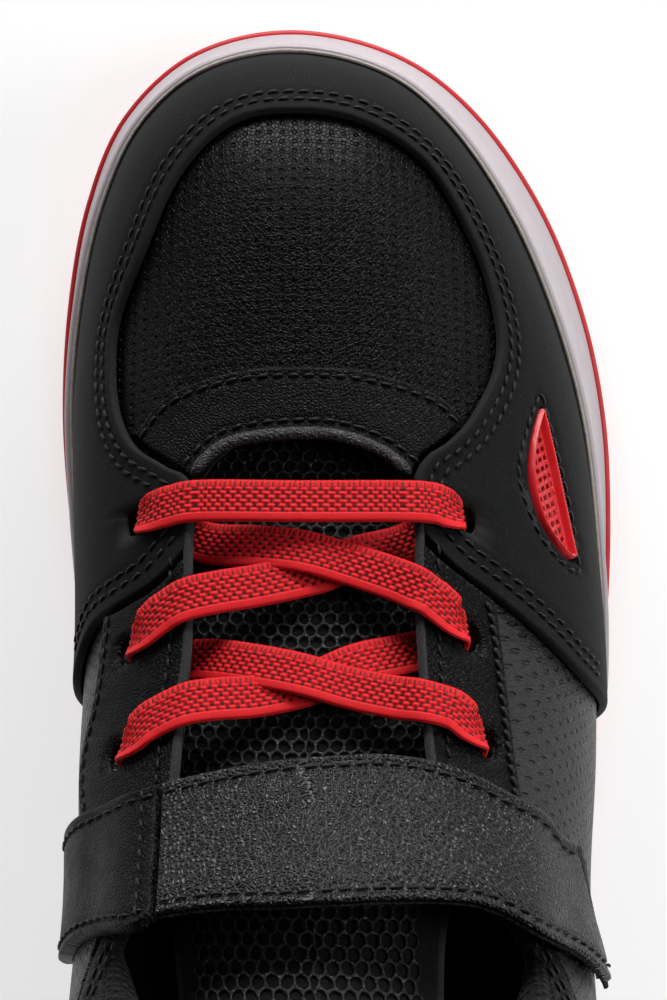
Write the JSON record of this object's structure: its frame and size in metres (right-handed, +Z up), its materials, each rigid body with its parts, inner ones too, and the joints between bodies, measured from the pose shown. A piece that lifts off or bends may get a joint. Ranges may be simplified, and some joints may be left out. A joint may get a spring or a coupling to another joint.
{
  "type": "basketball high top",
  "caption": "Child's right high-top basketball shoe with a cupsole, laced elastic over a mesh tongue and an ankle strap that opens.",
  "frame": {"origin": "bottom centre of the bounding box, on the ground under the outsole", "axes": "+Y from heel to toe, +X towards the outer side of the foot, +Z up"},
  "size_m": [0.0886, 0.2321, 0.1229],
  "materials": {
    "red_rubber": "matte moulded",
    "grey_rubber": "smooth, slightly translucent",
    "white_foam": "matte",
    "board": "matte",
    "black_lining": "knitted, matte",
    "black_leather": "fine grain, semi-gloss",
    "black_nubuck": "matte, fine nap",
    "red_plastic": "satin moulded",
    "black_mesh": "open hexagonal mesh",
    "red_elastic": "braided",
    "hook_tape": "hook and loop"
  },
  "bodies": {
    "shoe": {"outsole": "red_rubber", "cupsole": "grey_rubber", "midsole_foam": "white_foam", "strobel_board": "board", "insole_foam": "white_foam", "insole_cover": "black_lining", "toe_box": "black_leather", "toe_overlay": "black_nubuck", "vamp_tip": "black_leather", "vent_insert": "red_plastic", "eyestay_inner": "black_leather", "eyestay_outer": "black_leather", "quarter_outer": "black_leather", "quarter_inner": "black_leather", "collar_panel_outer": "black_leather", "collar_panel_inner": "black_leather", "collar_foam": "white_foam", "collar_lining": "black_lining", "vamp_lining": "black_lining", "heel_counter": "board", "heel_overlay": "black_nubuck", "backstay": "black_leather", "tongue_face_lower": "black_mesh", "tongue_foam_lower": "white_foam", "tongue_lining_lower": "black_lining", "elastic_lace": "red_elastic", "strap_anchor": "black_leather", "loop_patch": "hook_tape"},
    "strap": {"strap_outer": "black_leather", "strap_backing": "black_lining", "hook_tape": "hook_tape"},
    "tongue_top": {"tongue_face_upper": "black_mesh", "tongue_foam_upper": "white_foam", "tongue_lining_upper": "black_lining"}
  },
  "joints": [
    {"name": "strap", "type": "hinge", "parent": "shoe", "child": "strap", "pos_m": [-0.0246, -0.0042, 0.0864], "axis": [-0.015, -0.7982, 0.6022], "range_deg": [0, 120]},
    {"name": "tongue", "type": "hinge", "parent": "shoe", "child": "tongue_top", "pos_m": [-0.0032, -0.0192, 0.0963], "axis": [-1, 0, 0], "range_deg": [0, 35]}
  ]
}
